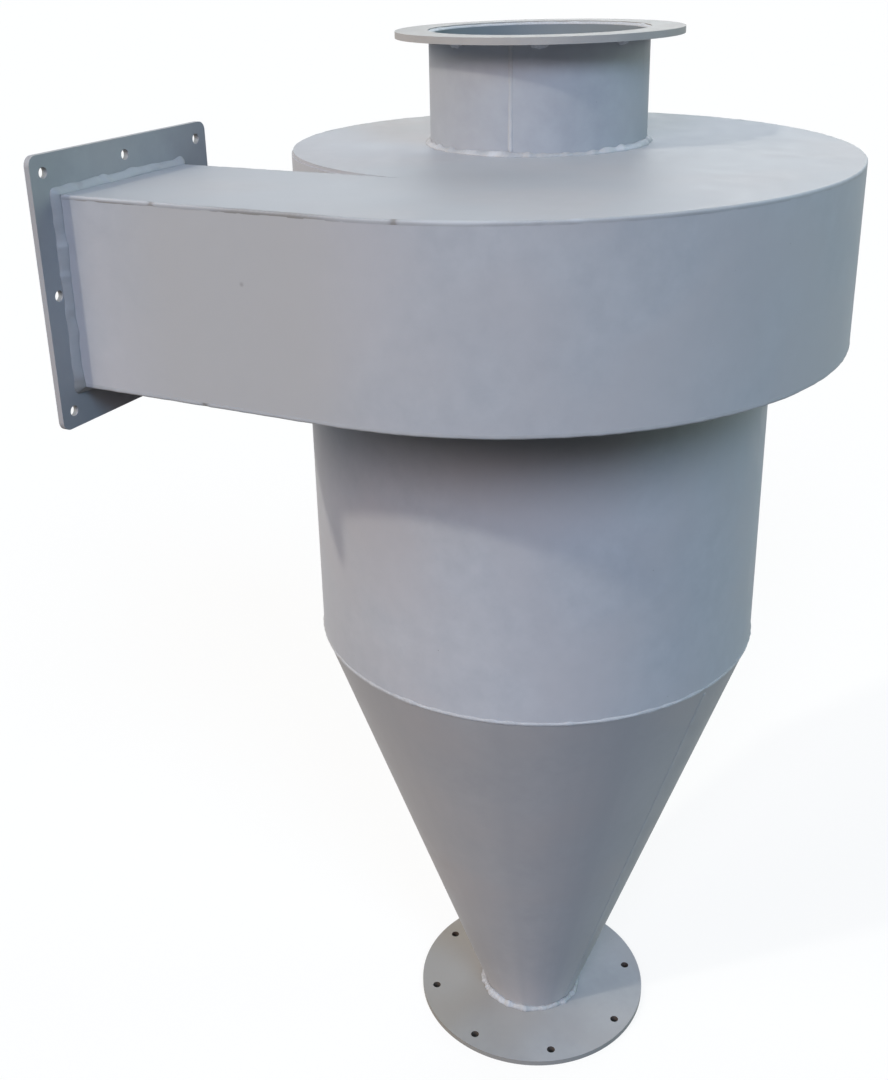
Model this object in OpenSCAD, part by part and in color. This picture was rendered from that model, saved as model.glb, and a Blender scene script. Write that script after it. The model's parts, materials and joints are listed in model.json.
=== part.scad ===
// Dust cyclone of welded steel sheet, standing on the flange of its dust outlet.
// The origin is on the axis of the barrel, at the underside of the dust flange, with +Z up.
// The inlet duct runs along X on the front side and opens towards -X.

/* [Barrel and cone] */
// Outer diameter of the rolled barrel
barrel_d = 450; // [300:10:600]
// Height of the barrel between the cone and the scroll
barrel_h = 335; // [150:5:600]
// Height of the cone above the dust flange
cone_h = 505; // [250:5:900]
// Clear bore of the dust outlet at the foot of the cone
dust_bore = 100; // [60:5:160]
// Thickness of the sheet that the whole body is made of
sheet = 3; // [2:0.5:3.5]

/* [Scroll inlet] */
// Clear width of the inlet duct
inlet_w = 150; // [100:5:200]
// Clear height of the inlet duct and of the scroll
inlet_h = 150; // [100:5:250]
// Length of the duct from the axis to the back of its flange
duct_l = 243; // [200:1:500]
// How far the scroll's round side stands out past the barrel
ledge = 4; // [4:0.5:12]

/* [Outlet pipe] */
// Outer diameter of the clean air pipe
pipe_d = 200; // [120:5:240]
// Height of the outlet flange's face above the scroll
collar_h = 100; // [50:5:300]
// How far the pipe reaches down from the scroll's top
finder_drop = 225; // [170:5:350]
// Clearance round the pipe where it passes the plate and the flange
pipe_gap = 0.5; // [0.2:0.1:1]
// Depth of the pipe's end below the outlet flange's face
pipe_recess = 3; // [2:0.5:4]

/* [Outlet flange] */
// Width of the outlet flange outside the pipe
outlet_rim = 30; // [20:1:60]
// Thickness of the outlet flange
outlet_flange_t = 6; // [5:0.5:12]

/* [Dust flange] */
// Width of the dust flange outside its bore
dust_rim = 82; // [50:1:120]
// Thickness of the dust flange
dust_flange_t = 6; // [4:0.5:12]
// Number of bolt holes in the dust flange
dust_holes = 8; // [4:1:12]
// Diameter of the dust flange's bolt holes
dust_hole_d = 9; // [6:0.5:14]
// Distance of these holes from the flange's outer edge
dust_hole_inset = 16; // [10:1:22]
// Turn of the first hole from +X, in degrees
dust_hole_turn = 34; // [0:1:44]

/* [Inlet flange] */
// Width of the inlet flange outside the duct
inlet_rim = 32; // [32:1:60]
// How far the inlet flange sits behind the middle of the duct
inlet_shift = 8; // [0:1:8]
// Thickness of the inlet flange
inlet_flange_t = 5; // [4:0.5:12]
// Corner radius of the inlet flange
inlet_corner_r = 8; // [2:1:14]
// Diameter of the inlet flange's bolt holes
inlet_hole_d = 9; // [6:0.5:10]
// Distance of these holes from the flange's outer edges
inlet_hole_inset = 14; // [10:1:14]

/* [Welds] */
// Leg length of the fillet welds at the flanges and the pipe
fillet_leg = 5; // [3:0.5:5]
// Width of the butt weld caps
cap_w = 8; // [5:0.5:12]
// Height of the butt weld caps
cap_h = 1.5; // [1:0.1:2.5]
// How far the corner welds stand proud of the sheets
corner_crown = 0.5; // [0.2:0.1:0.8]
// Width of the groove that the tongue's weld fills
tongue_groove = 4; // [2:0.5:6]
// Turn of the barrel's lengthwise seam from +X, in degrees
barrel_seam_a = 104; // [0:1:359]
// Turn of the cone's lengthwise seam from +X, in degrees
cone_seam_a = 340; // [0:1:359]
// Turn of the pipe's lengthwise seam from +X, in degrees
pipe_seam_a = 279; // [0:1:359]
// Number of tack welds under the outlet flange
tacks = 8; // [3:1:12]
// Turn of the first tack from the pipe's seam, in degrees
tack_turn = 14; // [13:1:17]
// Length of arc of each tack weld, in degrees
tack_a = 9; // [4:1:18]

/* [Hidden] */
$fn = 256;
// How far a cut runs past the face that it opens
past = 1;

// Radii about the axis
barrel_r = barrel_d / 2;
barrel_in = barrel_r - sheet;
bore_r = dust_bore / 2;
foot_r = bore_r + sheet;
pipe_r = pipe_d / 2;
pipe_in = pipe_r - sheet;
pipe_hole_r = pipe_r + pipe_gap;
dust_r = bore_r + dust_rim;
outlet_r = pipe_hole_r + outlet_rim;

// Heights of the joints, from the floor up
z_cone = dust_flange_t;
z_barrel = z_cone + cone_h;
z_scroll = z_barrel + barrel_h;
z_floor = z_scroll + sheet;
z_roof = z_floor + inlet_h;
z_top = z_roof + sheet;
z_outlet = z_top + collar_h;
z_under = z_outlet - outlet_flange_t;
z_pipe_end = z_outlet - pipe_recess;
z_finder = z_top - finder_drop;

// The duct's walls stand on lines of constant Y, the back one level with the barrel's side
duct_w = inlet_w + 2 * sheet;
duct_h = inlet_h + 2 * sheet;
duct_back = -barrel_r;
duct_front = duct_back - duct_w;
duct_y = duct_front + duct_w / 2;
duct_z = z_scroll + duct_h / 2;

// The scroll is a half circle round the barrel, and a larger one that carries on from the duct's front
small_r = barrel_r + ledge;
big_r = (small_r - duct_front) / 2;
big_y = duct_front + big_r;

// The plates stop halfway across the walls' edges, and the corner welds fill the step
lap = sheet / 2;
// The fillet under the bottom plate fits the narrow rim on the round side
rim_leg = ledge - lap;

// The groove between the round side and the duct's back wall opens towards -X from the first point
tongue_x = -sqrt(pow(small_r, 2) - pow(barrel_r, 2));
groove_x = -sqrt(pow(small_r, 2) - pow(barrel_r - tongue_groove, 2));

// Lean of the cone's side from upright
cone_lean = atan((barrel_r - foot_r) / cone_h);

// Bolt spacing of the inlet flange
inlet_flange_w = duct_w + 2 * inlet_rim;
inlet_flange_h = duct_h + 2 * inlet_rim;
inlet_pitch_y = inlet_flange_w / 2 - inlet_hole_inset;
inlet_pitch_z = inlet_flange_h / 2 - inlet_hole_inset;

primer = [0.66, 0.68, 0.71];
bead = [0.76, 0.78, 0.80];

// Section of a fillet weld: its corner at the origin, its legs along +X and +Y, its face a convex arc
module fillet_2d(w = fillet_leg, h = fillet_leg) {
  chord = norm([w, h]);
  back = 1.5 * chord;
  intersection() {
    square([w, h]);
    translate([w / 2 - back * h / chord, h / 2 - back * w / chord])
      circle(norm([back, chord / 2]));
  }
}

// Circle whose cap beyond the line x = 0 has the width and height of a butt weld cap
module cap_circle() {
  r = (pow(cap_w / 2, 2) + pow(cap_h, 2)) / (2 * cap_h);
  translate([cap_h - r, 0]) circle(r);
}

// Section of a weld cap on a straight seam, flat where it lies on the sheet
module cap_2d() {
  intersection() {
    cap_circle();
    translate([0, -cap_w / 2]) square([cap_h, cap_w]);
  }
}

// Outer profile of the cone and barrel, from the axis outwards
module body_2d() {
  polygon([[0, z_cone], [foot_r, z_cone], [barrel_r, z_barrel], [barrel_r, z_scroll], [0, z_scroll]]);
}

// Tube that stands on the XY plane
module tube(r_out, r_in, h) {
  difference() {
    cylinder(r = r_out, h = h);
    translate([0, 0, -past]) cylinder(r = r_in, h = h + 2 * past);
  }
}

// Revolves a section in X and Z from one turn about the axis to another
module sweep(from, to) {
  rotate([0, 0, from]) rotate_extrude(angle = to - from) children();
}

// Carries a section along X: its own x goes outwards from a wall, and its y goes up
module run(length, front) {
  rotate([90, 0, front ? -90 : 90])
    translate([0, 0, front ? 0 : -length]) linear_extrude(length) children();
}

// Plate in the outline of the scroll and duct, drawn in from the walls' outer faces by the lap
module scroll_plate() {
  linear_extrude(sheet) intersection() {
    translate([0, big_y]) circle(big_r - lap);
    translate([0, duct_front]) square([big_r, 2 * big_r]);
  }
  linear_extrude(sheet) intersection() {
    circle(small_r - lap);
    translate([-small_r, -small_r]) square([small_r, 2 * small_r]);
  }
  translate([-duct_l, duct_front + lap, 0]) cube([duct_l, duct_w - 2 * lap, sheet]);
}

// Carries a section round the scroll, from a length of duct past the front to the tongue, where it stops at y_end.
// The section's x = 0 lies on the outer face of the wall.
module round_scroll(length, y_end) {
  translate([0, duct_front, 0]) run(length, true) children();
  translate([0, big_y, 0]) sweep(-90, 90) translate([big_r, 0]) children();
  difference() {
    sweep(90, 270) translate([small_r, 0]) children();
    translate([-small_r, y_end - small_r, z_scroll - past])
      cube([small_r + past, small_r, duct_h + 2 * past]);
  }
}

// Weld in the open corner between a plate's edge and the walls' edges, from the flange's weld all the way round
module corner_weld(z_wall, z_outside) {
  grow = z_outside > z_wall ? 0 : 1;
  length = duct_l - fillet_leg;
  module section() {
    translate([-lap, z_wall]) mirror([0, grow]) fillet_2d(lap + corner_crown, sheet + corner_crown);
  }
  round_scroll(length, duct_back - lap) section();
  difference() {
    translate([0, duct_back, 0]) run(length, false) section();
    translate([0, 0, z_scroll - past]) cylinder(r = small_r - lap, h = duct_h + 2 * past);
  }
}

module dust_flange() {
  color(primer) difference() {
    tube(dust_r, bore_r, dust_flange_t);
    for (i = [0 : dust_holes - 1])
      rotate([0, 0, dust_hole_turn + 360 * i / dust_holes])
        translate([dust_r - dust_hole_inset, 0, -past])
          cylinder(d = dust_hole_d, h = dust_flange_t + 2 * past);
  }
}

module dust_flange_weld() {
  color(bead) rotate_extrude() difference() {
    translate([foot_r, z_cone]) fillet_2d(fillet_leg * (1 + tan(cone_lean)), fillet_leg);
    body_2d();
  }
}

module cone() {
  color(primer) translate([0, 0, z_cone]) difference() {
    cylinder(r1 = foot_r, r2 = barrel_r, h = cone_h);
    cylinder(r1 = bore_r, r2 = barrel_in, h = cone_h);
  }
}

module cone_seam_weld() {
  first = (fillet_leg + past) / cos(cone_lean);
  last = (cone_h - cap_w) / cos(cone_lean);
  color(bead) rotate([0, 0, cone_seam_a]) translate([foot_r, 0, z_cone]) rotate([0, cone_lean, 0])
    translate([0, 0, first]) linear_extrude(last - first) cap_2d();
}

module cone_top_weld() {
  color(bead) rotate_extrude() difference() {
    translate([barrel_r, z_barrel]) cap_circle();
    body_2d();
  }
}

module barrel() {
  color(primer) translate([0, 0, z_barrel]) tube(barrel_r, barrel_in, barrel_h);
}

// Weld cap up the side of a round shell
module upright_seam(r, turn, z_from, z_to) {
  rotate([0, 0, turn]) translate([r, 0, z_from]) linear_extrude(z_to - z_from) cap_2d();
}

module barrel_seam_weld() {
  color(bead) upright_seam(barrel_r, barrel_seam_a, z_barrel + cap_w / 2, z_scroll - rim_leg);
}

// Small fillet with a flat face
module barrel_top_weld() {
  color(bead) rotate_extrude() translate([barrel_r, z_scroll])
    polygon([[0, 0], [rim_leg, 0], [0, -rim_leg]]);
}

module scroll_bottom_plate() {
  color(primer) translate([0, 0, z_scroll]) difference() {
    scroll_plate();
    translate([0, 0, -past]) cylinder(r = barrel_in, h = sheet + 2 * past);
  }
}

module scroll_wall() {
  color(primer) round_scroll(duct_l, duct_back) translate([-sheet, z_floor]) square([sheet, inlet_h]);
}

module duct_inner_wall() {
  color(primer) translate([-duct_l, duct_back - sheet, z_floor]) cube([duct_l, sheet, inlet_h]);
}

module tongue_weld() {
  color(bead) translate([0, 0, z_floor]) linear_extrude(inlet_h) difference() {
    union() {
      translate([groove_x, duct_back]) square([tongue_x - groove_x, tongue_groove]);
      translate([groove_x, duct_back + tongue_groove / 2]) circle(d = tongue_groove);
    }
    circle(small_r);
  }
}

module scroll_bottom_weld() {
  color(bead) corner_weld(z_floor, z_scroll);
}

module scroll_top_weld() {
  color(bead) corner_weld(z_roof, z_top);
}

module scroll_top_plate() {
  color(primer) translate([0, 0, z_roof]) difference() {
    scroll_plate();
    translate([0, 0, -past]) cylinder(r = pipe_hole_r, h = sheet + 2 * past);
  }
}

// Rectangle with round corners, about the origin
module rounded_2d(w, h, r) {
  square([w - 2 * r, h], center = true);
  square([w, h - 2 * r], center = true);
  for (x = [-1, 1], y = [-1, 1]) translate([x * (w / 2 - r), y * (h / 2 - r)]) circle(r);
}

// Stands a drawing of the inlet's end upright, its own X along +Y and its height along +X
module at_inlet() {
  translate([-duct_l, duct_y, duct_z]) rotate([90, 0, 90]) children();
}

module inlet_flange() {
  color(primer) at_inlet() translate([0, 0, -inlet_flange_t]) linear_extrude(inlet_flange_t)
    difference() {
      translate([inlet_shift, 0]) rounded_2d(inlet_flange_w, inlet_flange_h, inlet_corner_r);
      square([inlet_w, inlet_h], center = true);
      for (i = [-1 : 1], j = [-1 : 1]) if (i != 0 || j != 0)
        translate([inlet_shift + i * inlet_pitch_y, j * inlet_pitch_z]) circle(d = inlet_hole_d);
    }
}

module inlet_flange_weld() {
  color(bead) at_inlet() for (side = [0 : 3]) rotate([0, 0, 90 * side]) {
    across = side % 2 == 0 ? duct_w : duct_h;
    along = side % 2 == 0 ? duct_h : duct_w;
    translate([across / 2, 0, 0]) rotate([90, 0, 0]) linear_extrude(along, center = true) fillet_2d();
    translate([across / 2, along / 2, 0]) sweep(0, 90) fillet_2d();
  }
}

module outlet_pipe() {
  color(primer) translate([0, 0, z_finder]) tube(pipe_r, pipe_in, z_pipe_end - z_finder);
}

module pipe_seam_weld() {
  color(bead) {
    upright_seam(pipe_r, pipe_seam_a, z_top + fillet_leg, z_under);
    upright_seam(pipe_r, pipe_seam_a, z_finder, z_roof);
  }
}

module outlet_pipe_weld() {
  color(bead) rotate_extrude() translate([pipe_r, z_top]) fillet_2d();
}

module outlet_flange() {
  color(primer) translate([0, 0, z_under]) tube(outlet_r, pipe_hole_r, outlet_flange_t);
}

// Fillet on the pipe's end, inside the outlet flange
module outlet_flange_weld() {
  color(bead) rotate_extrude() translate([pipe_hole_r, z_pipe_end]) mirror([1, 0])
    fillet_2d(pipe_hole_r - pipe_in, pipe_recess);
}

module outlet_flange_tacks() {
  color(bead) for (i = [0 : tacks - 1]) {
    middle = pipe_seam_a + tack_turn + i * 360 / tacks;
    sweep(middle - tack_a / 2, middle + tack_a / 2)
      translate([pipe_r, z_under]) mirror([0, 1]) fillet_2d();
  }
}

dust_flange();
dust_flange_weld();
cone();
cone_seam_weld();
cone_top_weld();
barrel();
barrel_seam_weld();
barrel_top_weld();
scroll_bottom_plate();
scroll_wall();
duct_inner_wall();
tongue_weld();
scroll_bottom_weld();
scroll_top_weld();
scroll_top_plate();
inlet_flange();
inlet_flange_weld();
outlet_pipe();
pipe_seam_weld();
outlet_pipe_weld();
outlet_flange();
outlet_flange_weld();
outlet_flange_tacks();
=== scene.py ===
import json

import bpy
import numpy as np
from mathutils import Matrix, Vector


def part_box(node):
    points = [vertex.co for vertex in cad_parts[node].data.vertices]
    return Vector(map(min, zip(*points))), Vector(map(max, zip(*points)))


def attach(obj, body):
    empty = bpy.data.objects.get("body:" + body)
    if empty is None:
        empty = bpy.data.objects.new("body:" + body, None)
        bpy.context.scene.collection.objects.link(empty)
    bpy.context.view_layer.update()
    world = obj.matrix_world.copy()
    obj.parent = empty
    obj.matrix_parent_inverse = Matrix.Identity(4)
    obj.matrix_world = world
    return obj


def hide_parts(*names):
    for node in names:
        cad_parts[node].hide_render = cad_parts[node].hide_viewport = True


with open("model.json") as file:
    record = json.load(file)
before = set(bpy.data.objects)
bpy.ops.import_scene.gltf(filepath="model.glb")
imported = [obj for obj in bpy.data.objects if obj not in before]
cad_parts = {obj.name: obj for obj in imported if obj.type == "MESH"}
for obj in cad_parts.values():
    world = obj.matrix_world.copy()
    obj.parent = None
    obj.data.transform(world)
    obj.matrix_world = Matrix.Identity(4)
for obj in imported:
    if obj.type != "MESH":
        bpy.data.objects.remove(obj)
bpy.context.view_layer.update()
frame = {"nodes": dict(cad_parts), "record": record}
print("frame loaded,", len(frame["nodes"]), "nodes")


# Sizes read from the frame, in metres

def low(node):
    return np.array(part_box(node)[0])


def high(node):
    return np.array(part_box(node)[1])


def mountRadius(name):
    mount = next(m for m in frame["record"]["mounts"] if m["name"] == name)
    return mount["dims"]["r_mm"] / 1000


sheet = high("scroll_top_plate")[2] - low("scroll_top_plate")[2]
barrelR = high("barrel")[0]
footR = mountRadius("dust_bore") + sheet
pipeR = high("outlet_pipe")[0]
pipeInR = mountRadius("outlet_bore")
dustFlangeR = high("dust_flange")[0]
coneFootZ = low("cone")[2]
coneTopZ = high("cone")[2]
coneLean = (barrelR - footR) / (coneTopZ - coneFootZ)
scrollLowZ = low("scroll_bottom_plate")[2]
scrollTopZ = high("scroll_top_plate")[2]
pipeTopZ = high("outlet_pipe")[2]
outletUnderZ = low("outlet_flange")[2]
outletHoleR = high("outlet_flange_weld")[0]
ductX = low("duct_inner_wall")[0]
ductFrontY = low("scroll_wall")[1]
ductBackY = high("duct_inner_wall")[1]
bigR = high("scroll_wall")[0]  # of the scroll's large half circle
smallR = high("scroll_wall")[1]  # of its small half circle, which is about the axis
bigY = ductFrontY + bigR
tongueX = -np.sqrt(smallR ** 2 - ductBackY ** 2)


# Weld beads

spacing = 0.0009  # from one section of a bead to the next
fewestSections = 8
ductEndGap = 0.004  # from the duct's end, where the inlet weld is, to its corner beads
beads = []

noiseLook = {"fewestWaves": 3, "slowCut": 0.1, "most": 2.2}  # slowCut holds the longest waves down
restartLook = {"earliest": 0.2, "latest": 0.8, "half": 0.0038, "gain": 0.2,
               "dipAfter": 0.007, "dipHalf": 0.003, "dipGain": -0.12, "seedShift": 7}


def unit(v):
    return v / np.linalg.norm(v, axis=-1, keepdims=True)


# Smooth noise along a bead: a sum of cosines whose wavelengths divide the bead's length,
# down to the finest, each the smaller the shorter it is.
def unevenness(s, length, seed, finest):
    rng = np.random.default_rng(seed)
    waves = np.arange(1, max(noiseLook["fewestWaves"], int(length / finest)) + 1)
    size = rng.normal(size=len(waves)) / np.sqrt(waves + noiseLook["slowCut"] * len(waves))
    turn = rng.uniform(0, 2 * np.pi, len(waves))
    value = (size * np.cos(2 * np.pi * np.outer(s / length, waves) + turn)).sum(1)
    return np.clip(value / value.std(), -noiseLook["most"], noiseLook["most"])


# Bell shaped humps or dips along the bead: gain * exp(-(distance / half) ** 2), summed over the places.
def humps(s, length, closed, places):
    value = np.zeros_like(s)
    for place, half, gain in places:
        away = np.abs(s - place)
        away = np.minimum(away, length - away) if closed else away
        value += gain * np.exp(-(away / half) ** 2)
    return value


# Where the welder stopped and went on: a hump with a dip beyond it, every so often along the bead.
def restarts(s, length, closed, look):
    shape = restartLook
    count = int(length / look["restart"])
    rng = np.random.default_rng(look["seed"] + shape["seedShift"])
    jitter = rng.uniform(shape["earliest"], shape["latest"], count)
    places = (np.arange(count) + jitter) * length / max(count, 1)
    starts = [(place, shape["half"], shape["gain"]) for place in places]
    dips = [(place + shape["dipAfter"], shape["dipHalf"], shape["dipGain"]) for place in places]
    return humps(s, length, closed, starts + dips)


def makeMesh(name, verts, faces):
    mesh = bpy.data.meshes.new(name)
    mesh.from_pydata(verts, [], faces)
    mesh.polygons.foreach_set("use_smooth", np.ones(len(faces), bool))
    mesh.update()
    piece = bpy.data.objects.new(name, mesh)
    bpy.context.scene.collection.objects.link(piece)
    return piece


# The toes and the ends are sharp, so that the bead's hidden back doesn't bend their shading.
def markSharp(mesh, sections, around, closed):
    ends = np.zeros(2 * len(mesh.edges), np.int32)
    mesh.edges.foreach_get("vertices", ends)
    section, column = np.divmod(ends.reshape(-1, 2), around)
    sharp = (column == 0).all(1) | (column == around - 2).all(1)
    if not closed:
        sharp |= (section == 0).all(1) | (section == sections - 1).all(1)
    mesh.edges.foreach_set("use_edge_sharp", sharp)


# What a bead has unless it says otherwise, in metres. Humps, paintedHighlights, undercutAndShade and
# paintedToeShade are lists of (place along the bead, half width, gain): humps thicken the bead,
# paintedHighlights and paintedToeShade paint highlights and shade into its colour, and undercutAndShade
# lowers it and paints shade. Noises says how much slower than the finest each noise
# is: of the thickness, the lean, the ripples' pitch, the ripples' height and the heave.
beadLook = {
    "kind": "fillet", "square": 1.5, "across": 11, "spread": 1, "thinnest": 0.3,
    "wander": 0.07, "lean": 0.06, "heave": 0.0001, "finest": 0.013, "noises": (1, 1.5, 4, 0.7, 1),
    "ripple": 0.0002, "pitch": 0.0036, "pitchWander": 0.12, "bow": 0.7,
    "rippleMean": 0.7, "rippleWander": 0.3, "rippleLimits": (0.1, 1.3),
    "restart": 0.085, "endRound": 0.004, "endLeast": 0.02, "sunk": 0.0002, "deep": 0.0004,
    "tone": 0.0, "toneGain": 1.0, "hollowTone": 0.45,
    "humps": (), "paintedHighlights": (), "undercutAndShade": (), "paintedToeShade": (),
}


# A bead's face across. With phi from 0 to 90 degrees a fillet's is
# root + a * legA * cos(phi) ** square + b * legB * sin(phi) ** square, lifted by 1 - |side| ** 3.
# With side from -1 to 1 a cap's is root + a * legA * -side, then root + b * legB * side,
# lifted by (1 - side ** 2) ** 0.7.
def beadSection(look, path, across):
    side = 2 * across - 1
    if look["kind"] == "cap":
        push = np.broadcast_to(path["out"][:, None], (len(path["s"]), len(across), 3))
        return np.maximum(-side, 0), np.maximum(side, 0), (1 - side ** 2) ** 0.7, push
    phi = across * np.pi / 2
    shareA, shareB = np.cos(phi), np.sin(phi)
    push = unit(path["a"][:, None] * shareA[None, :, None] + path["b"][:, None] * shareB[None, :, None])
    return shareA ** look["square"], shareB ** look["square"], 1 - np.abs(side) ** 3, push


# A bead's thickness along its run: 1 + noise + humps + restarts. Within endRound of an open end
# it is that times the square root of 1 - (1 - distance / endRound) ** 2.
def beadGain(look, path, uneven):
    s, length, closed = path["s"], path["length"], path["closed"]
    gain = 1 + look["wander"] * uneven + humps(s, length, closed, look["humps"])
    gain = np.maximum(gain + restarts(s, length, closed, look), look["thinnest"])
    if not closed:
        fromEnd = np.minimum(np.minimum(s - s[0], s[-1] - s) / look["endRound"], 1)
        gain = gain * np.sqrt(np.clip(1 - (1 - fromEnd) ** 2, look["endLeast"], 1))
    return gain


# Ripples are crescents: 0.5 + 0.5 * cosine of a full turn every pitch, less the bow * (1 - side ** 2).
def beadRipples(look, path, side, pitchNoise, heightNoise):
    phase = np.cumsum(np.gradient(path["s"]) / (look["pitch"] * (1 + look["pitchWander"] * pitchNoise)))
    if path["closed"]:
        phase = phase * round(phase[-1]) / phase[-1]
    crest = 0.5 + 0.5 * np.cos(2 * np.pi * (phase[:, None] - look["bow"] * (1 - side ** 2)[None]))
    height = np.clip(look["rippleMean"] + look["rippleWander"] * heightNoise, *look["rippleLimits"])
    return crest * height[:, None]


# Quads from each section to the next, and one face at each end of an open bead.
def beadFaces(sections, around, closed):
    index = np.arange(sections * around).reshape(sections, around)
    after = np.roll(index, -1, 0) if closed else index[1:]
    before = index if closed else index[:-1]
    quads = np.stack([before, after, np.roll(after, -1, 1), np.roll(before, -1, 1)], -1)
    ends = [] if closed else [index[0].tolist(), index[-1][::-1].tolist()]
    return quads.reshape(-1, 4).tolist() + ends


# A weld bead along a path, which gives each section's root, the directions a and b of its two legs,
# the direction out and the distance s run so far. The face is that of beadSection, with its lift times
# (crown * gain + heave * noise + ripple * crest).
def addBead(name, nodes, path, **own):
    look = dict(beadLook, **own)
    root, a, b, out, s = (path[k] for k in ("root", "a", "b", "out", "s"))
    length, closed = path["length"], path["closed"]
    thickness, tilt, pitch, height, heave = (
        unevenness(s, length, look["seed"] + k, look["finest"] * slower)
        for k, slower in enumerate(look["noises"]))
    across = np.linspace(0, 1, look["across"])
    side = 2 * across - 1
    shareA, shareB, rise, push = beadSection(look, path, across)
    gain = beadGain(look, path, thickness)
    crest = beadRipples(look, path, side, pitch, height)
    undercutAndShade = np.clip(humps(s, length, closed, look["undercutAndShade"]), 0, 1)[:, None]
    wide = gain[:, None, None] ** look["spread"]
    lean = look["lean"] * tilt
    legA = look["legA"] * wide * (1 + lean)[:, None, None]
    legB = look["legB"] * wide * (1 - lean)[:, None, None]
    lift = look["crown"] * gain[:, None] + look["heave"] * heave[:, None] + look["ripple"] * crest
    lift = lift * rise * (1 - undercutAndShade)
    face = (root[:, None] + a[:, None] * legA * shareA[None, :, None]
            + b[:, None] * legB * shareB[None, :, None] + push * lift[..., None])
    face[:, 0] -= (out if look["kind"] == "cap" else b) * look["sunk"]
    face[:, -1] -= (out if look["kind"] == "cap" else a) * look["sunk"]
    rings = np.concatenate([face, (root - unit(out) * look["deep"])[:, None]], 1)
    sections, around = rings.shape[:2]
    faces = beadFaces(sections, around, closed)
    facing = np.cross(face[1:, 0] - face[:-1, 0], face[:-1, -1] - face[:-1, 0])
    if (facing * out[:-1]).sum(1).mean() < 0:
        faces = [f[::-1] for f in faces]
    piece = makeMesh(name, rings.reshape(-1, 3).tolist(), faces)
    markSharp(piece.data, sections, around, closed)
    # For the weld's material, painted light and shade: bright on the crests and at the painted
    # highlights, dark along a toe and where the bead is undercut
    paintedHighlights = humps(s, length, closed, look["paintedHighlights"])[:, None]
    paintedToeShade = humps(s, length, closed, look["paintedToeShade"])[:, None]
    paintedCrestLight = look["hollowTone"] + (1 - look["hollowTone"]) * crest
    shade = look["tone"] + look["toneGain"] * rise[None] * paintedCrestLight + paintedHighlights * rise[None] - undercutAndShade
    shade = shade - paintedToeShade * np.maximum(-side, 0) ** 2
    shade = np.concatenate([shade, np.zeros((sections, 1))], 1)
    paintedLightValues = piece.data.attributes.new("crest", "FLOAT", "POINT")
    paintedLightValues.data.foreach_set("value", shade.ravel().astype(np.float32))
    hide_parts(*nodes)
    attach(piece, "root")
    beads.append(piece)


# A circle or an arc about the axis: radius * (cosine, sine) of each turn, at one height.
# Each leg is given as its outward and upward parts. Legs that point opposite ways are a cap's.
def roundPath(radius, z, turn, length, a, b, closed):
    radial = np.stack([np.cos(turn), np.sin(turn), 0 * turn], 1)
    upward = np.array([0.0, 0.0, 1.0])
    legA = unit(radial * a[0] + upward * a[1])
    legB = unit(radial * b[0] + upward * b[1])
    opposite = np.linalg.norm(np.add(a, b)) <= 0.5
    return {"root": radial * radius + upward * z, "a": legA, "b": legB,
            "out": radial if opposite else unit(legA + legB),
            "s": (turn - turn[0]) * radius, "length": length, "closed": closed}


def circlePath(radius, z, a, b, step):
    count = int(2 * np.pi * radius / step)
    turn = np.arange(count) * 2 * np.pi / count
    return roundPath(radius, z, turn, 2 * np.pi * radius, a, b, True)


def arcPath(radius, z, middle, half, a, b, step):
    count = max(fewestSections, int(np.radians(2 * half) * radius / step))
    turn = np.radians(np.linspace(middle - half, middle + half, count))
    return roundPath(radius, z, turn, np.ptp(turn) * radius, a, b, False)


# A straight line: start + share * (end - start).
def straightPath(start, end, a, b, out):
    start, end = np.array(start, float), np.array(end, float)
    length = np.linalg.norm(end - start)
    share = np.linspace(0, 1, max(fewestSections, int(length / spacing)))
    same = np.ones((len(share), 1))
    return {"root": start + share[:, None] * (end - start), "a": same * unit(np.array(a, float)),
            "b": same * unit(np.array(b, float)), "out": same * unit(np.array(out, float)),
            "s": share * length, "length": length, "closed": False}


print("welds of the body")

footLook = {"legA": 0.0054, "legB": 0.005, "crown": 0.0006, "wander": 0.15, "finest": 0.008,
            "ripple": 0.0004, "heave": 0.0002, "restart": 0.035, "tone": -0.3, "toneGain": 0.5, "seed": 3,
            "humps": ((5.5 * footR, 0.02, -0.25), (4.1 * footR, 0.04, 0.45)),
            "paintedHighlights": ((4.45 * footR, 0.02, 0.35),)}
addBead("foot_weld", ["dust_flange_weld"],
        circlePath(footR, coneFootZ, (1, 0), (coneLean, 1), spacing * 0.7), **footLook)

coneTopStarts = np.radians((262, 283, 301, 321, 334)) * barrelR
coneTopLook = {"kind": "cap", "legA": 0.0024, "legB": 0.0024, "crown": 0.0006, "wander": 0.12,
               "heave": 0.00015, "finest": 0.01, "seed": 11, "deep": 0.0015,
               "humps": tuple((place, 0.004, 0.4) for place in coneTopStarts),
               "paintedHighlights": ((np.radians(305) * barrelR, 0.16, 0.35),)}
addBead("cone_top_bead", ["cone_top_weld"],
        circlePath(barrelR, coneTopZ, (0, 1), (-coneLean, -1), spacing), **coneTopLook)

barrelTopLook = {"legA": 0.0022, "legB": 0.0024, "crown": 0.0002, "across": 7, "seed": 17}
addBead("barrel_top_bead", ["barrel_top_weld"],
        circlePath(barrelR, scrollLowZ, (1, 0), (0, -1), spacing * 1.2), **barrelTopLook)


# A seam up the side of the body, from one (radius, height) to another, with its legs to either side.
def seamPath(turn, lowPoint, highPoint):
    angle = np.radians(turn)
    radial = np.array([np.cos(angle), np.sin(angle), 0])
    tangent = np.array([-np.sin(angle), np.cos(angle), 0])
    start = radial * lowPoint[0] + np.array([0, 0, lowPoint[1]])
    end = radial * highPoint[0] + np.array([0, 0, highPoint[1]])
    return straightPath(start, end, -tangent, tangent, np.cross(tangent, end - start))


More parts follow.
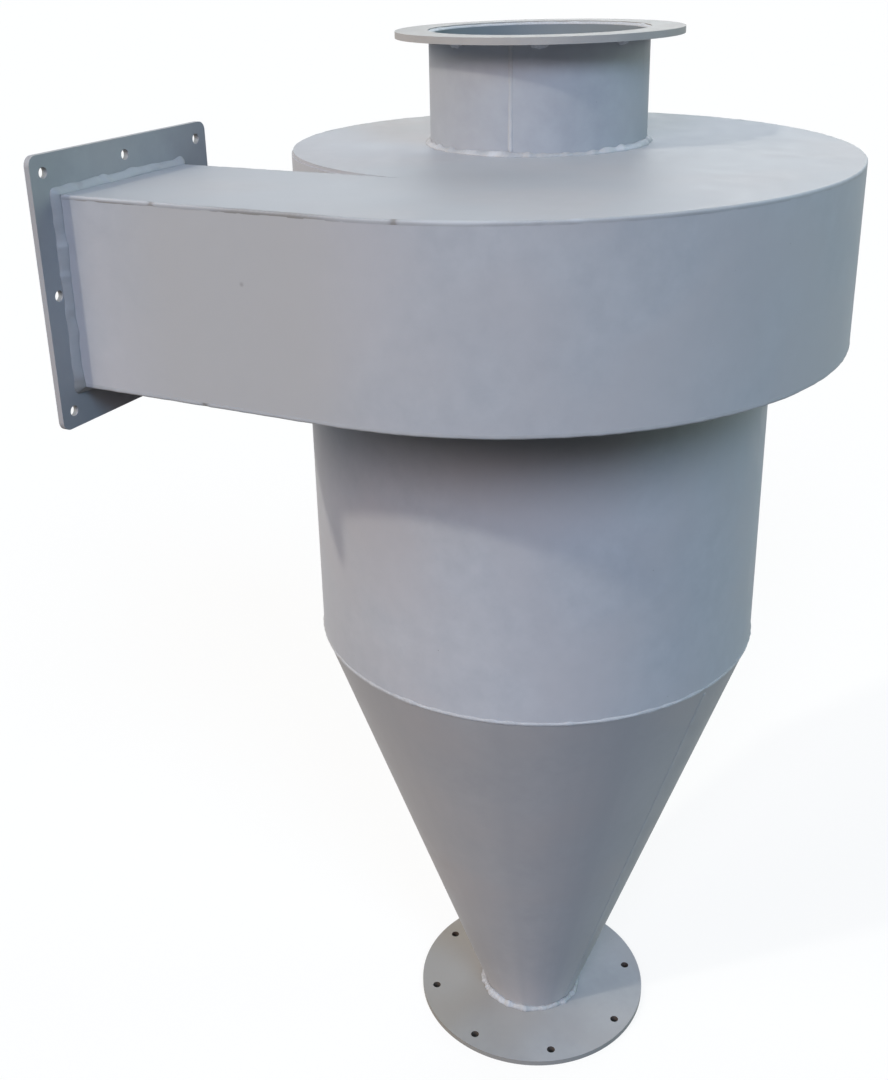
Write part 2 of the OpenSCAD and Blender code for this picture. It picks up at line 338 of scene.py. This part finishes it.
def middleTurn(node):
    middle = (low(node) + high(node)) / 2
    return np.degrees(np.arctan2(middle[1], middle[0]))


def coneRadius(z):
    return footR + (z - coneFootZ) * coneLean


seamLook = {"kind": "cap", "legA": 0.0032, "legB": 0.0032, "crown": 0.0008, "ripple": 0.00016,
            "deep": 0.0006}

seamGap = {"cone": 0.002, "pipe": 0.003}  # between a seam and the weld at its foot

coneSeamLook = dict(seamLook, crown=0.0006, ripple=0.00006, tone=-0.12, toneGain=0.2, seed=29)
coneSeamZ = (low("cone_seam_weld")[2] + seamGap["cone"], high("cone_seam_weld")[2])
addBead("cone_seam_bead", ["cone_seam_weld"],
        seamPath(middleTurn("cone_seam_weld"), *((coneRadius(z), z) for z in coneSeamZ)), **coneSeamLook)

barrelSeamZ = (low("barrel_seam_weld")[2], high("barrel_seam_weld")[2])
addBead("barrel_seam_bead", ["barrel_seam_weld"],
        seamPath(middleTurn("barrel_seam_weld"), *((barrelR, z) for z in barrelSeamZ)),
        **seamLook, seed=31)

pipeSeam = middleTurn("pipe_seam_weld")
pipeSeamLook = dict(seamLook, legA=0.002, legB=0.002, crown=0.0005, ripple=0.00004, tone=0.05,
                    toneGain=0.15, paintedHighlights=((0.0, 0.045, 0.4),), seed=37)
addBead("pipe_seam_bead", ["pipe_seam_weld"],
        seamPath(pipeSeam, (pipeR, scrollTopZ + seamGap["pipe"]), (pipeR, outletUnderZ)), **pipeSeamLook)
pipeSeamInsideZ = (low("outlet_pipe")[2], scrollTopZ - sheet)
addBead("pipe_seam_bead_inside", [],
        seamPath(pipeSeam, *((pipeR, z) for z in pipeSeamInsideZ)), **seamLook, seed=41)

# Its darker tone is painted shade.
pipeFootLook = {"legA": 0.0042, "legB": 0.0038, "crown": 0.0003, "wander": 0.12, "finest": 0.01,
                "ripple": 0.0001, "tone": -0.2, "toneGain": 0.3, "seed": 43,
                "humps": ((4.87 * pipeR, 0.004, 0.3), (4.7 * pipeR, 0.006, 0.15),
                          (5.95 * pipeR, 0.02, 0.15), (5.3 * pipeR, 0.03, -0.3)),
                "paintedHighlights": ((3.85 * pipeR, 0.025, 0.6), (4.5 * pipeR, 0.008, 0.5),
                          (4.73 * pipeR, 0.007, 0.8), (5.95 * pipeR, 0.03, 0.8))}
addBead("pipe_foot_weld", ["outlet_pipe_weld"],
        circlePath(pipeR, scrollTopZ, (1, 0), (0, 1), spacing), **pipeFootLook)

outletInnerLook = {"square": 1.4, "legA": 0.0034, "legB": 0.0021, "crown": 0.0001, "ripple": 0.00012,
                   "wander": 0.05, "lean": 0.03, "heave": 0.00003, "restart": 0.2, "across": 9,
                   "seed": 47,
                   "humps": ((5.95 * pipeR, 0.006, 0.15), (6.1 * pipeR, 0.005, 0.1))}
addBead("outlet_inner_weld", ["outlet_flange_weld"],
        circlePath(outletHoleR, pipeTopZ, (-1, 0), (0, 1), spacing), **outletInnerLook)

print("welds of the scroll")


# The scroll's outline, from the inlet along the duct's front, round the large and small half circles
# to the tongue: start + run, then each centre + radius * (cosine, sine) of the turn. The root is inset
# from the walls' faces and from the plate's.
def scrollPath(z, up, inset):
    startX = ductX + ductEndGap
    lengths = [-startX, np.pi * bigR, smallR * (np.pi - np.arccos(-tongueX / smallR))]
    total = sum(lengths)
    s = np.linspace(0, total, int(total / spacing))
    onDuct = s < lengths[0]
    onBig = (s >= lengths[0]) & (s < lengths[0] + lengths[1])
    bigTurn = -np.pi / 2 + (s - lengths[0]) / bigR
    smallTurn = np.pi / 2 + (s - lengths[0] - lengths[1]) / smallR
    turn = np.where(onDuct, -np.pi / 2, np.where(onBig, bigTurn, smallTurn))
    outward = np.stack([np.cos(turn), np.sin(turn), 0 * turn], 1)
    straight = np.stack([startX + s, ductFrontY + 0 * s], 1)
    big, small = bigR * outward[:, :2] + (0, bigY), smallR * outward[:, :2]
    face = np.where(onDuct[:, None], straight, np.where(onBig[:, None], big, small))
    level = np.full((len(s), 1), z)
    upward = np.tile([0.0, 0.0, float(up)], (len(s), 1))
    root = np.concatenate([face, level], 1) - outward * inset[0] - upward * inset[1]
    return {"root": root, "a": outward, "b": upward, "out": unit(outward + upward),
            "s": s, "length": total, "closed": False}


# Ground nearly flush, so only slow humps are left, with a few nicks and stretches of undercut.
cornerLook = {"square": 0.62, "legA": 0.0026, "legB": 0.0034, "crown": 0.00028, "ripple": 0.00003,
              "wander": 0.10, "spread": 0.1, "lean": 0.01, "heave": 0.00007, "finest": 0.012,
              "endRound": 0.003, "sunk": 0.0001, "deep": 0.0, "restart": 0.3, "tone": 0.22,
              "toneGain": 0.12}
cornerInset = (cornerLook["legA"], cornerLook["legB"])
# Painted highlights along the top edge, and painted shade along its lower toe and in the undercuts.
topLook = dict(cornerLook, seed=53,
               paintedHighlights=((0.335, 0.03, 0.7), (0.415, 0.006, 0.5), (0.06, 0.05, 0.3), (0.62, 0.12, 0.3)),
               undercutAndShade=((0.088, 0.003, 0.9), (0.165, 0.028, 0.5),
                         (0.215, 0.03, 0.55), (0.2915, 0.003, 0.9)),
               paintedToeShade=((0.045, 0.04, 0.9), (0.19, 0.06, 0.4)))
bottomLook = dict(cornerLook, seed=59, undercutAndShade=((0.1216, 0.003, 0.9),))
addBead("scroll_top_bead", ["scroll_top_weld"], scrollPath(scrollTopZ, 1, cornerInset), **topLook)
addBead("scroll_bottom_bead", ["scroll_bottom_weld"],
        scrollPath(scrollLowZ, -1, cornerInset), **bottomLook)

for name, z, up, seed in (("duct_back_top_bead", scrollTopZ, 1, 61),
                          ("duct_back_bottom_bead", scrollLowZ, -1, 67)):
    start = (ductX + ductEndGap, ductBackY - cornerInset[0], z - up * cornerInset[1])
    end = (tongueX - ductEndGap, start[1], start[2])
    addBead(name, [], straightPath(start, end, (0, 1, 0), (0, 0, up), (0, 1, up)),
            **cornerLook, seed=seed)

tongueLook = {"square": 1.9, "legA": 0.0215, "legB": 0.0205, "crown": 0.0006, "ripple": 0.0003,
              "pitch": 0.0042, "wander": 0.03, "seed": 71, "endRound": 0.0015, "lean": 0.03}
wallX = tongueX - 0.02  # a point of the scroll's round side beside the tongue
towardWall = (wallX - tongueX, -np.sqrt(smallR ** 2 - wallX ** 2) - ductBackY, 0)
addBead("tongue_bead", ["tongue_weld"],
        straightPath((tongueX, ductBackY, scrollLowZ + sheet), (tongueX, ductBackY, scrollTopZ - sheet),
                     (-1, 0, 0), towardWall, (-1, 0.1, 0)), **tongueLook)


# Round the duct where it meets its flange: each side is start + share * (end - start). At a corner
# the root stays and the first leg turns.
def inletPath(cornerLength, cornerSections):
    y = (ductFrontY, ductBackY)
    z = (scrollLowZ, scrollTopZ)
    corners = np.array([[y[1], z[0]], [y[1], z[1]], [y[0], z[1]], [y[0], z[0]]])
    points, turns, runs = [], [], []
    distance = 0.0
    for side in range(4):
        start, end = corners[side], corners[(side + 1) % 4]
        length = np.linalg.norm(end - start)
        share = np.arange(int(length / spacing)) / int(length / spacing)
        arc = np.arange(cornerSections) / cornerSections
        points += [start + share[:, None] * (end - start), np.tile(end, (cornerSections, 1))]
        turns += [np.full(len(share), side * np.pi / 2), (side + arc) * np.pi / 2]
        runs += [distance + share * length, distance + length + arc * cornerLength]
        distance += length + cornerLength
    point, turn, s = np.concatenate(points), np.concatenate(turns), np.concatenate(runs)
    outward = np.stack([0 * turn, np.cos(turn), np.sin(turn)], 1)
    along = np.tile([1.0, 0.0, 0.0], (len(s), 1))
    return {"root": np.column_stack([np.full(len(s), ductX), point]), "a": outward, "b": along,
            "out": unit(outward + along), "s": s, "length": distance, "closed": True}


# The inlet weld's darker tone is painted shade from its flange.
inletLook = {"square": 1.8, "legA": 0.0056, "legB": 0.0056, "crown": 0.0004, "ripple": 0.00008,
             "wander": 0.05, "heave": 0.00006, "restart": 0.2, "tone": -0.13, "toneGain": 0.03,
             "seed": 73,
             "humps": ((0.362, 0.003, 0.1), (0.385, 0.003, 0.1)),
             "paintedHighlights": ((0.24, 0.07, 0.35), (0.362, 0.003, 0.3), (0.385, 0.003, 0.25)),
             "undercutAndShade": ((0.475, 0.006, 0.5),)}
inletCorner = {"cornerLength": 0.005, "cornerSections": 8}
addBead("inlet_weld", ["inlet_flange_weld"], inletPath(**inletCorner), **inletLook)

tacks = {"count": 8, "turn": 14, "half": 4.8, "step": 0.0008}  # turn is from the pipe's seam, in degrees
tackLook = {"square": 1.4, "legA": 0.0048, "legB": 0.0048, "crown": 0.0006, "wander": 0.05, "across": 9,
            "endRound": 0.005, "restart": 1}
for i in range(tacks["count"]):
    middle = pipeSeam + tacks["turn"] + i * 360 / tacks["count"]
    addBead("outlet_tack_%d" % i, ["outlet_flange_tacks"],
            arcPath(pipeR, outletUnderZ, middle, tacks["half"], (1, 0), (0, -1), tacks["step"]),
            **tackLook, seed=80 + i)
print("beads made:", len(beads))


# Materials. A value is linked if it is a socket, and otherwise set on the node's own socket.

def setInputs(owner, node, inputs):
    for socket, value in inputs.items():
        if isinstance(value, bpy.types.NodeSocket):
            owner.node_tree.links.new(value, node.inputs[socket])
        else:
            node.inputs[socket].default_value = value


def addNode(owner, kind, inputs=None, **settings):
    node = owner.node_tree.nodes.new(kind)
    for key, value in settings.items():
        setattr(node, key, value)
    setInputs(owner, node, inputs or {})
    return node


def newMaterial(name):
    material = bpy.data.materials.new(name)
    material.use_nodes = True
    material.node_tree.nodes.clear()
    shader = addNode(material, "ShaderNodeBsdfPrincipled")
    addNode(material, "ShaderNodeOutputMaterial", {"Surface": shader.outputs["BSDF"]})
    return material, shader


def objectPlace(owner):
    return addNode(owner, "ShaderNodeTexCoord").outputs["Object"]


def noise(owner, place, scale, detail=2.0, rough=0.5):
    inputs = {"Vector": place, "Scale": scale, "Detail": detail, "Roughness": rough}
    return addNode(owner, "ShaderNodeTexNoise", inputs).outputs["Fac"]


def mapRange(owner, value, fromRange, toRange, **settings):
    inputs = {"Value": value, "From Min": fromRange[0], "From Max": fromRange[1],
              "To Min": toRange[0], "To Max": toRange[1]}
    return addNode(owner, "ShaderNodeMapRange", inputs, **settings).outputs["Result"]


def mixColour(owner, factor, first, second):
    return addNode(owner, "ShaderNodeMix", {0: factor, 6: first, 7: second}, data_type="RGBA").outputs[2]


def maths(owner, operation, first, second=0.5):
    return addNode(owner, "ShaderNodeMath", {0: first, 1: second}, operation=operation).outputs[0]


def vectorMaths(owner, operation, first, second=(0, 0, 0), output="Vector"):
    node = addNode(owner, "ShaderNodeVectorMath", {0: first, 1: second}, operation=operation)
    return node.outputs[output]


def bump(owner, height, distance, **inputs):
    inputs = dict(inputs, Height=height, Distance=distance, Strength=1.0)
    return addNode(owner, "ShaderNodeBump", inputs).outputs["Normal"]


paint = {
    "light": (0.418, 0.427, 0.456), "dark": (0.358, 0.368, 0.400), "warm": (0.405, 0.396, 0.416),
    "cloudScale": 6.0, "mottleScale": 55.0, "cloudRange": (0.7, 1.3),
    "hueScale": 9.0, "hueRange": (0.45, 0.65), "warmShare": 0.6,
    "waveScale": 9.0, "waveHeight": 0.0009, "peelScale": 650.0, "peelHeight": 0.00003,
    "roughFrom": (0.3, 0.7), "rough": (0.46, 0.6), "specular": 0.25,
}
specks = {"perMetre": 75.0, "size": 0.055, "chosen": (0.93, 0.95), "share": 0.55,
          "colour": (0.16, 0.155, 0.15, 1)}
# Painted shade on the front wall: a warmer, darker patch about one point, with a small dark pit beside
# it.
wallPaintedShadeAndPit = {"middle": (-0.085, ductFrontY, 0.92), "reach": (0.1, 0.1, 0.3), "fade": (0.5, 1.3),
             "tone": (0.92, 0.89, 0.845), "share": 0.8,
             "pit": (-0.0738, ductFrontY, 0.9467), "pitEdge": (0.0006, 0.0024), "pitShare": 0.4}
streaks = {"scale": 5.0, "range": (0.4, 0.65), "share": 0.5}
# Painted shade inside the outlet pipe.
pipeInsideShade = {"colour": (0.17, 0.2, 0.22, 1), "share": 0.8, "edge": (0.0005, 0.001)}
# Darker and warmer towards -x; painted shade on the upright walls of the bolt holes and bore; a darker
# outer rim.
flangeTintAndHoleShade = {"colour": (0.285, 0.26, 0.232, 1), "side": (-0.055, 0.055), "share": 0.8,
        "uneven": 0.15, "unevenRange": (0.3, 0.7), "upright": (0.3, 0.5),
        "hole": (0.05, 0.032, 0.022, 1), "holeShare": 0.9, "holeEdge": (0.003, 0.002),
        "rim": (0.2, 0.19, 0.17, 1), "rimShare": 0.6, "rimEdge": (0.002, 0.001)}


# How far a point is from the axis.
def fromAxis(material, place):
    flat = vectorMaths(material, "MULTIPLY", place, (1, 1, 0))
    return vectorMaths(material, "LENGTH", flat, output="Value")


def addSpecks(material, place, colour):
    inputs = {"Vector": place, "Scale": specks["perMetre"]}
    cells = addNode(material, "ShaderNodeTexVoronoi", inputs).outputs
    picked = addNode(material, "ShaderNodeSeparateColor", {"Color": cells["Color"]}).outputs["Red"]
    chosen = mapRange(material, picked, specks["chosen"], (0, 1))
    near = mapRange(material, cells["Distance"], (specks["size"] * 0.5, specks["size"]), (1, 0))
    share = maths(material, "MULTIPLY", maths(material, "MULTIPLY", chosen, near), specks["share"])
    return mixColour(material, share, colour, specks["colour"])


# Painted shade about one point of a wall: warmer and darker there, and a small dark pit.
def addPaintedShadeAndPit(material, place, colour, light, paintedShadeAndPit):
    apart = vectorMaths(material, "SUBTRACT", place, paintedShadeAndPit["middle"])
    apart = vectorMaths(material, "DIVIDE", apart, paintedShadeAndPit["reach"])
    apart = vectorMaths(material, "LENGTH", apart, output="Value")
    fade = mapRange(material, apart, paintedShadeAndPit["fade"], (1, 0), interpolation_type="SMOOTHSTEP")
    warmShaded = (*np.multiply(light[:3], paintedShadeAndPit["tone"]), 1)
    colour = mixColour(material, maths(material, "MULTIPLY", fade, paintedShadeAndPit["share"]), colour, warmShaded)
    apart = vectorMaths(material, "DISTANCE", place, paintedShadeAndPit["pit"], output="Value")
    pit = mapRange(material, apart, paintedShadeAndPit["pitEdge"], (paintedShadeAndPit["pitShare"], 0))
    return mixColour(material, pit, colour, specks["colour"])


# Streaks that run up a rolled sheet: noise that depends only on the way from the axis.
def addStreaks(material, place, colour, dark):
    flat = vectorMaths(material, "MULTIPLY", place, (1, 1, 0))
    streak = noise(material, vectorMaths(material, "NORMALIZE", flat), streaks["scale"])
    share = mapRange(material, streak, streaks["range"], (0, streaks["share"]))
    return mixColour(material, share, colour, dark)


# Painted shade inside the pipe: darker nearer the axis than the radius.
def addInsideShade(material, place, colour, radius):
    edge = [radius + further for further in pipeInsideShade["edge"]]
    inside = mapRange(material, fromAxis(material, place), edge, (pipeInsideShade["share"], 0))
    return mixColour(material, inside, colour, pipeInsideShade["colour"])


# The dust flange darker and warmer towards -x, painted shade nearly black on the upright walls of its
# bolt holes and bore, and a darker outer rim.
def addTintAndHoleShade(material, place, colour, hue):
    side = addNode(material, "ShaderNodeSeparateXYZ", {"Vector": place}).outputs["X"]
    side = mapRange(material, side, flangeTintAndHoleShade["side"], (flangeTintAndHoleShade["share"], 0))
    uneven = mapRange(material, hue, flangeTintAndHoleShade["unevenRange"], (-flangeTintAndHoleShade["uneven"], flangeTintAndHoleShade["uneven"]))
    colour = mixColour(material, maths(material, "ADD", side, uneven), colour, flangeTintAndHoleShade["colour"])
    normal = addNode(material, "ShaderNodeNewGeometry").outputs["True Normal"]
    normal = addNode(material, "ShaderNodeSeparateXYZ", {"Vector": normal}).outputs["Z"]
    upright = mapRange(material, maths(material, "ABSOLUTE", normal), flangeTintAndHoleShade["upright"], (1, 0))
    away = fromAxis(material, place)
    for part, shares in (("hole", (flangeTintAndHoleShade["holeShare"], 0)), ("rim", (0, flangeTintAndHoleShade["rimShare"]))):
        edge = [dustFlangeR - inset for inset in flangeTintAndHoleShade[part + "Edge"]]
        share = maths(material, "MULTIPLY", upright, mapRange(material, away, edge, shares))
        colour = mixColour(material, share, colour, flangeTintAndHoleShade[part])
    return colour


# Sprayed primer on sheet: cloudy tone, a few dark specks, orange peel and slow waves in the sheet.
# A wall may have a warmer, darker patch of painted shade with a pit, a rolled sheet has streaks, the pipe
# has painted shade inside, and the dust flange is darker and warmer towards -x, with painted shade on the
# walls of its holes and a darker outer rim.
def primerMaterial(name, tone=(1, 1, 1), paintedShadeAndPit=None, rolled=False, shadeInsideR=0, tintAndHoleShade=False):
    material, shader = newMaterial(name)
    light, dark, warm = ((*np.multiply(paint[k], tone), 1) for k in ("light", "dark", "warm"))
    place = objectPlace(material)
    cloud = noise(material, place, paint["cloudScale"], 3.0)
    mottle = noise(material, place, paint["mottleScale"], 4.0, 0.6)
    cloudy = mapRange(material, maths(material, "ADD", cloud, mottle), paint["cloudRange"], (0, 1))
    hue = noise(material, place, paint["hueScale"], 1.0)
    warmth = mapRange(material, hue, paint["hueRange"], (0, paint["warmShare"]))
    colour = mixColour(material, warmth, mixColour(material, cloudy, dark, light), warm)
    colour = addSpecks(material, place, colour)
    if paintedShadeAndPit:
        colour = addPaintedShadeAndPit(material, place, colour, light, paintedShadeAndPit)
    if rolled:
        colour = addStreaks(material, place, colour, dark)
    if shadeInsideR:
        colour = addInsideShade(material, place, colour, shadeInsideR)
    if tintAndHoleShade:
        colour = addTintAndHoleShade(material, place, colour, hue)
    waves = bump(material, noise(material, place, paint["waveScale"], 1.0), paint["waveHeight"])
    peel = noise(material, place, paint["peelScale"])
    setInputs(material, shader, {
        "Base Color": colour, "Roughness": mapRange(material, mottle, paint["roughFrom"], paint["rough"]),
        "Normal": bump(material, peel, paint["peelHeight"], Normal=waves),
        "Specular IOR Level": paint["specular"]})
    return material


# The crest colour is a painted highlight; the soot colour serves both soot and painted shade.
weldPaint = {
    "crest": (0.46, 0.47, 0.50, 1), "toe": (0.345, 0.35, 0.37, 1), "crestRange": (0.05, 0.75),
    "sootAndShade": (0.2, 0.19, 0.18, 1), "sootScale": 38.0, "sootRange": (0.58, 0.7), "sootShare": 0.35,
    "sootBelow": (0.0, 0.6), "shadeRange": (0.0, -0.5), "shadeShare": 0.8,
    "grainScale": 900.0, "grainHeight": 0.00005, "rough": 0.5, "specular": 0.3,
}


# Primer over a bead: lighter on the ripples' crests and darker at the toes, a painted highlight and
# shade, sooty in a few patches, and darkened to the soot colour as painted shade where the bead's own
# attribute is below 0.
def weldMaterial():
    material, shader = newMaterial("primer_on_weld")
    place = objectPlace(material)
    crest = addNode(material, "ShaderNodeAttribute", attribute_name="crest").outputs["Fac"]
    paintedCrestLight = mapRange(material, crest, weldPaint["crestRange"], (0, 1))
    colour = mixColour(material, paintedCrestLight, weldPaint["toe"], weldPaint["crest"])
    patches = noise(material, place, weldPaint["sootScale"], 3.0)
    sooty = maths(material, "MULTIPLY",
                  mapRange(material, patches, weldPaint["sootRange"], (0, weldPaint["sootShare"])),
                  mapRange(material, crest, weldPaint["sootBelow"], (1, 0)))
    paintedShade = mapRange(material, crest, weldPaint["shadeRange"], (0, weldPaint["shadeShare"]))
    colour = mixColour(material, maths(material, "MAXIMUM", sooty, paintedShade), colour, weldPaint["sootAndShade"])
    grain = noise(material, place, weldPaint["grainScale"])
    setInputs(material, shader, {
        "Base Color": colour, "Normal": bump(material, grain, weldPaint["grainHeight"]),
        "Roughness": weldPaint["rough"], "Specular IOR Level": weldPaint["specular"]})
    return material


plainPrimer = primerMaterial("primer_on_sheet")
finishes = {
    "cone": primerMaterial("primer_on_cone", tone=(0.935, 0.905, 0.88), rolled=True),
    "scroll_wall": primerMaterial("primer_on_wall", tone=(1.05, 1.05, 1.05), paintedShadeAndPit=wallPaintedShadeAndPit),
    "barrel": primerMaterial("primer_on_barrel", tone=(1.045, 1.05, 1.07)),
    "outlet_flange": primerMaterial("primer_on_outlet_flange", tone=(0.87, 0.82, 0.75)),
    # The inlet flange's darker primer is painted shade on its back face.
    "inlet_flange": primerMaterial("primer_on_inlet_flange", tone=(0.89, 0.87, 0.85)),
    "outlet_pipe": primerMaterial("primer_on_pipe", tone=(0.86, 0.88, 0.905), shadeInsideR=pipeInR),
    "dust_flange": primerMaterial("tinted_primer_with_hole_shade", tone=(0.9, 0.9, 0.9), tintAndHoleShade=True),
}
weldPrimer = weldMaterial()
for name, node in frame["nodes"].items():
    node.data.materials.clear()
    node.data.materials.append(finishes.get(name, plainPrimer))
for bead in beads:
    bead.data.materials.append(weldPrimer)
print("materials set")


# Floor, light and camera

# The camera sees a paler floor than the one that lights the steel from below. Under the dust flange the
# floor is painted dark, a painted shade, so that the flange's bolt holes are dark too. The sky is the
# light without direction.
stage = {"half": 40.0, "seenFloor": (0.16, 0.16, 0.16, 1), "floor": (0.04, 0.04, 0.04, 1),
         "rough": 0.9, "glow": 0.84, "flangeShadeEdge": (0.004, 0.002), "flangeShadeShare": 0.02,
         "sky": (0.85, 0.92, 1.0, 1), "skyStrength": 0.056}


# 1 for the rays by which the camera, gloss and glass see the background.
def seenRay(owner, rays):
    seen = maths(owner, "MAXIMUM", rays["Is Camera Ray"], rays["Is Glossy Ray"])
    return maths(owner, "MAXIMUM", seen, rays["Is Transmission Ray"])


def addFloor():
    half = stage["half"]
    corners = [(-half, -half, 0), (half, -half, 0), (half, half, 0), (-half, half, 0)]
    floor = makeMesh("floor", corners, [(0, 1, 2, 3)])
    material, shader = newMaterial("pale_floor")
    rays = addNode(material, "ShaderNodeLightPath").outputs
    away = vectorMaths(material, "LENGTH", objectPlace(material), output="Value")
    flangeShadeEdge = [dustFlangeR - inset for inset in stage["flangeShadeEdge"]]
    clear = mapRange(material, away, flangeShadeEdge, (stage["flangeShadeShare"], 1))
    colour = mixColour(material, rays["Is Camera Ray"], stage["floor"], stage["seenFloor"])
    glow = maths(material, "MULTIPLY", seenRay(material, rays), clear)
    setInputs(material, shader, {
        "Base Color": mixColour(material, clear, (0, 0, 0, 1), colour), "Roughness": stage["rough"],
        "Specular IOR Level": 0.0, "Emission Color": (1, 1, 1, 1),
        "Emission Strength": maths(material, "MULTIPLY", glow, stage["glow"])})
    floor.data.materials.append(material)


def addWorld():
    world = bpy.data.worlds.new("studio")
    world.use_nodes = True
    world.node_tree.nodes.clear()
    bpy.context.scene.world = world
    seen = seenRay(world, addNode(world, "ShaderNodeLightPath").outputs)
    sky = addNode(world, "ShaderNodeBackground",
                  {"Color": stage["sky"], "Strength": stage["skyStrength"]}).outputs[0]
    white = addNode(world, "ShaderNodeBackground", {"Color": (1, 1, 1, 1)}).outputs[0]
    mix = addNode(world, "ShaderNodeMixShader", {0: seen, 1: sky, 2: white}).outputs[0]
    addNode(world, "ShaderNodeOutputWorld", {"Surface": mix})


# Sun lamps: name, turn from +X, rise above the floor, strength, colour and spread. Angles are in degrees.
lamps = (
    ("key", -121, 38, 0.98, (1.0, 0.95, 0.80), 3),
    ("left", -130, 28, 0.86, (1.0, 0.84, 0.65), 30),
    ("left_back", 172, 13, 0.645, (0.88, 0.94, 1.0), 26),
    ("front", -80, 31, 1.33, (0.95, 0.895, 1.0), 20),
    ("front_right", -40, 37, 1.28, (0.42, 0.71, 1.0), 22),
    ("low_right", 30, 14, 0.71, (0.77, 1.0, 0.85), 28),
    ("back", 100, 30, 1.00, (0.90, 0.98, 1.0), 50),
    ("top", -90, 85, 0.12, (1.0, 1.0, 1.0), 60),
)


def addSun(name, turn, rise, strength, colour, spread):
    a, e = np.radians(turn), np.radians(rise)
    toward = Vector((np.cos(a) * np.cos(e), np.sin(a) * np.cos(e), np.sin(e)))
    lamp = bpy.data.lights.new(name, "SUN")
    lamp.energy = strength
    lamp.color = colour
    lamp.angle = np.radians(spread)
    holder = bpy.data.objects.new(name, lamp)
    holder.rotation_mode = "QUATERNION"
    holder.rotation_quaternion = toward.to_track_quat("Z", "Y")
    bpy.context.scene.collection.objects.link(holder)


# The photo's camera. Turn, tilt and roll are in degrees, the rest of it in metres and pixels.
lens = {"place": (0.4760, -1.1382, 1.1740), "turn": -28.09, "tilt": -21.90, "roll": -1.56,
        "focalPixels": 1292.55, "centre": (422.3, 464.1), "image": (888, 1080), "sensor": 36}


def addCamera():
    turn, tilt, roll = (np.radians(lens[k]) for k in ("turn", "tilt", "roll"))
    forward = Vector((np.sin(turn) * np.cos(tilt), np.cos(turn) * np.cos(tilt), np.sin(tilt)))
    level = Vector((np.cos(turn), -np.sin(turn), 0))
    upright = level.cross(forward)
    right = level * np.cos(roll) + upright * np.sin(roll)
    up = right.cross(forward)
    wide, tall = lens["image"]
    data = bpy.data.cameras.new("camera")
    data.sensor_width = lens["sensor"]
    data.lens = lens["focalPixels"] / tall * data.sensor_width
    data.shift_x = (wide / 2 - lens["centre"][0]) / tall
    data.shift_y = (lens["centre"][1] - tall / 2) / tall
    facing = Matrix((right, up, -forward)).transposed().to_4x4()
    camera = bpy.data.objects.new("camera", data)
    camera.matrix_world = Matrix.Translation(lens["place"]) @ facing
    bpy.context.scene.collection.objects.link(camera)
    bpy.context.scene.camera = camera


addFloor()
addWorld()
for lamp in lamps:
    addSun(*lamp)
addCamera()
bpy.context.scene.view_settings.view_transform = "Standard"
print("stage, lamps and camera set")
